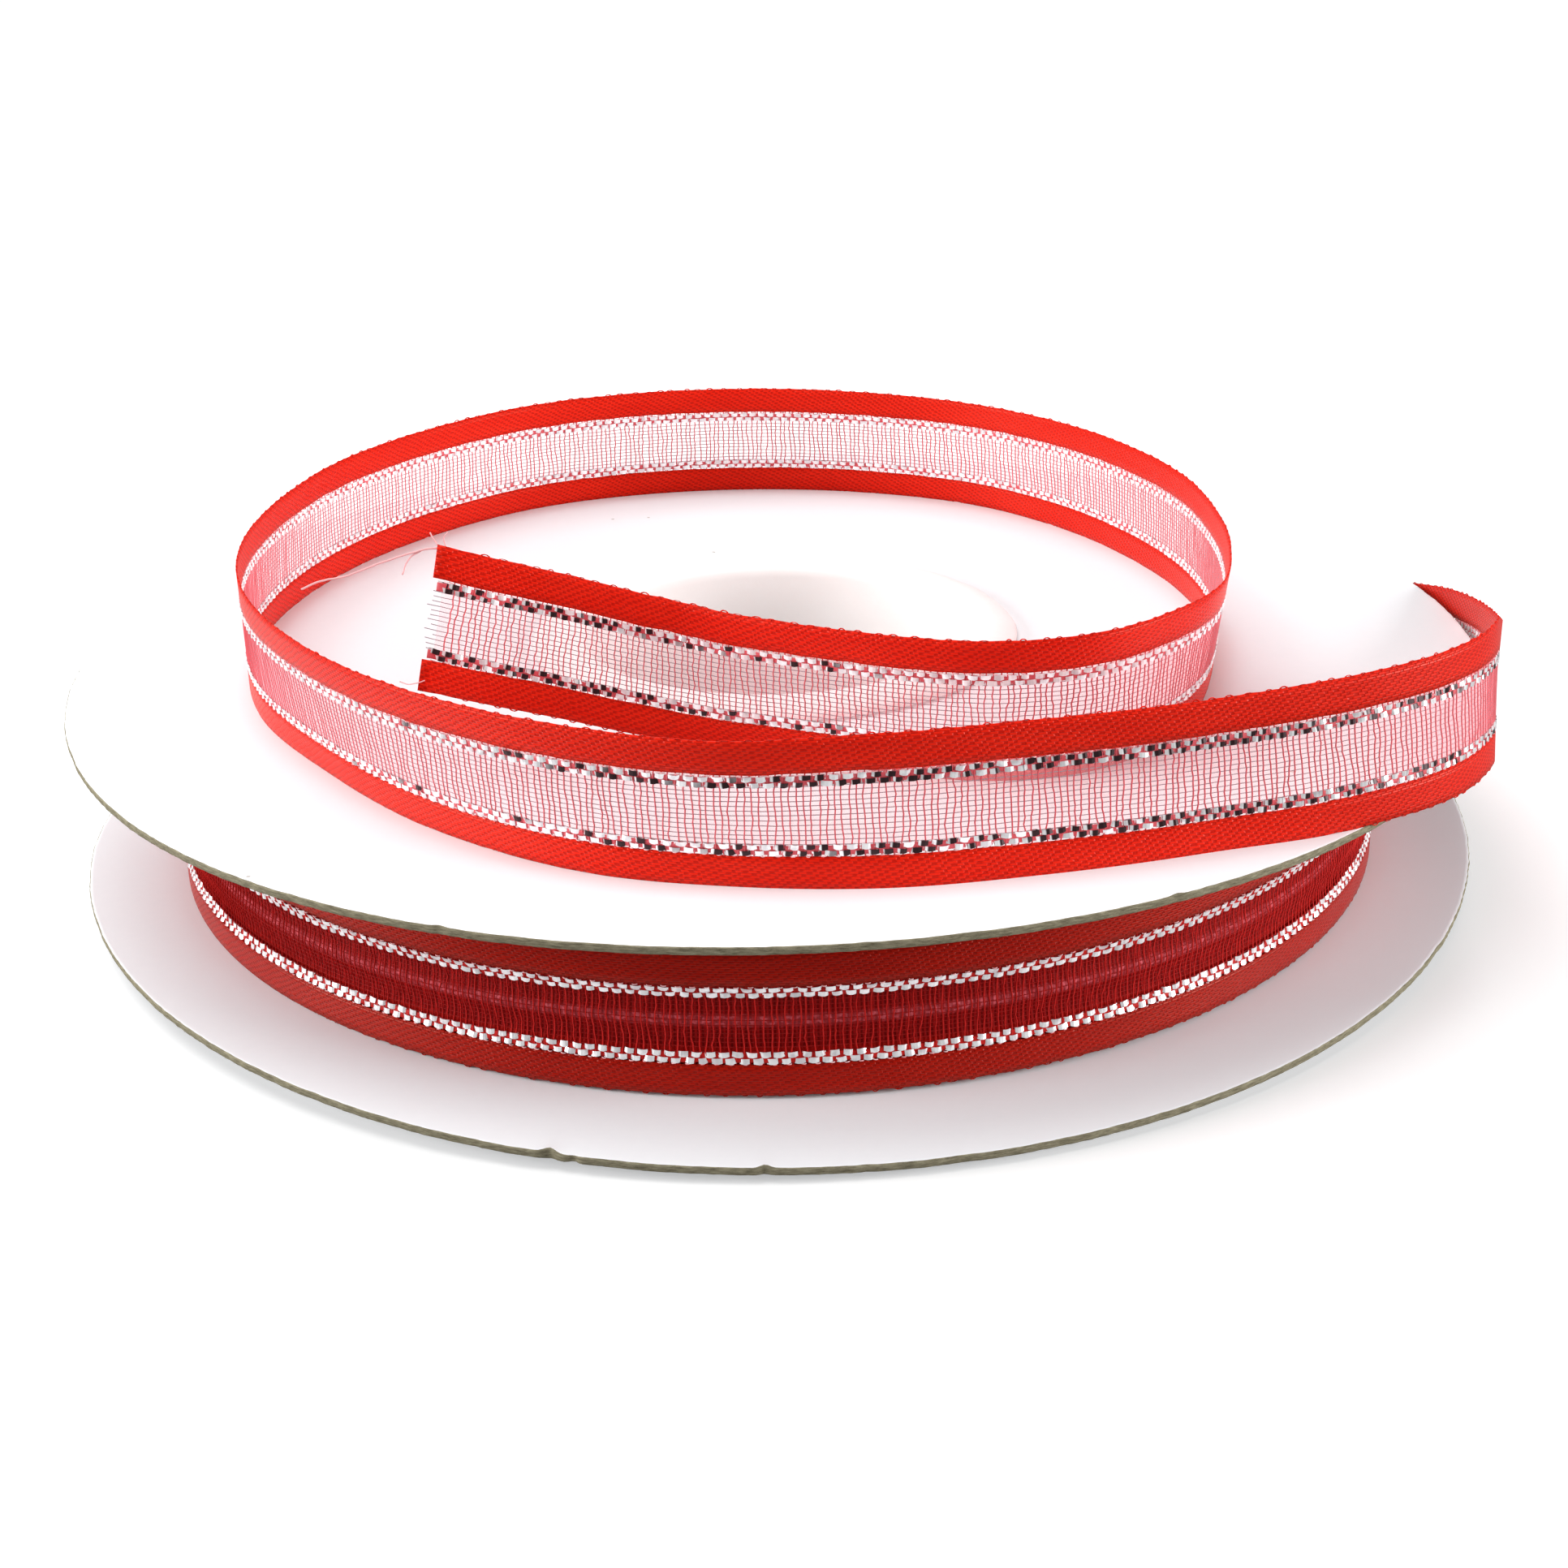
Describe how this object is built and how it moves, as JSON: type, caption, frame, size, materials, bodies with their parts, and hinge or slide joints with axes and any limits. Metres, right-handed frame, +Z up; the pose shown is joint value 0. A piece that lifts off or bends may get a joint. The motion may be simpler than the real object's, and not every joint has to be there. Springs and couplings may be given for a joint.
{
  "type": "ribbon spool",
  "caption": "Flat spool of gift ribbon: two card discs on a curled card core, a wound roll between them and the free tail looped on top.",
  "frame": {"origin": "centre of the core's lower rim, on the surface that the spool stands on", "axes": "+Z up along the core's bore, from the lower disc to the upper disc; -Y towards the side where the free tail crosses in front of the core; +X towards the side where the tail leaves the roll"},
  "size_m": [0.1096, 0.109, 0.032],
  "materials": {
    "core_card": "white-faced card, matt, curled at both ends",
    "barrel_card": "plain spiral-wound card",
    "disc_board": "greyboard lined white on both faces, grey-brown cut edge, matt",
    "ribbon": "polyester: two satin edge bands, a sheer organza middle, two silver metallic lines"
  },
  "bodies": {
    "core": {"core_tube": "core_card", "core_barrel": "barrel_card", "ribbon_roll": "ribbon", "ribbon_tail": "ribbon"},
    "lower_disc": {"lower_disc": "disc_board"},
    "upper_disc": {"upper_disc": "disc_board"}
  },
  "joints": [
    {"name": "lower_disc_turn", "type": "hinge", "parent": "core", "child": "lower_disc", "pos_m": [0, 0, 0.00145], "axis": [0, 0, 1], "continuous": true},
    {"name": "upper_disc_turn", "type": "hinge", "parent": "core", "child": "upper_disc", "pos_m": [0, 0, 0.01565], "axis": [0, 0, 1], "continuous": true}
  ]
}
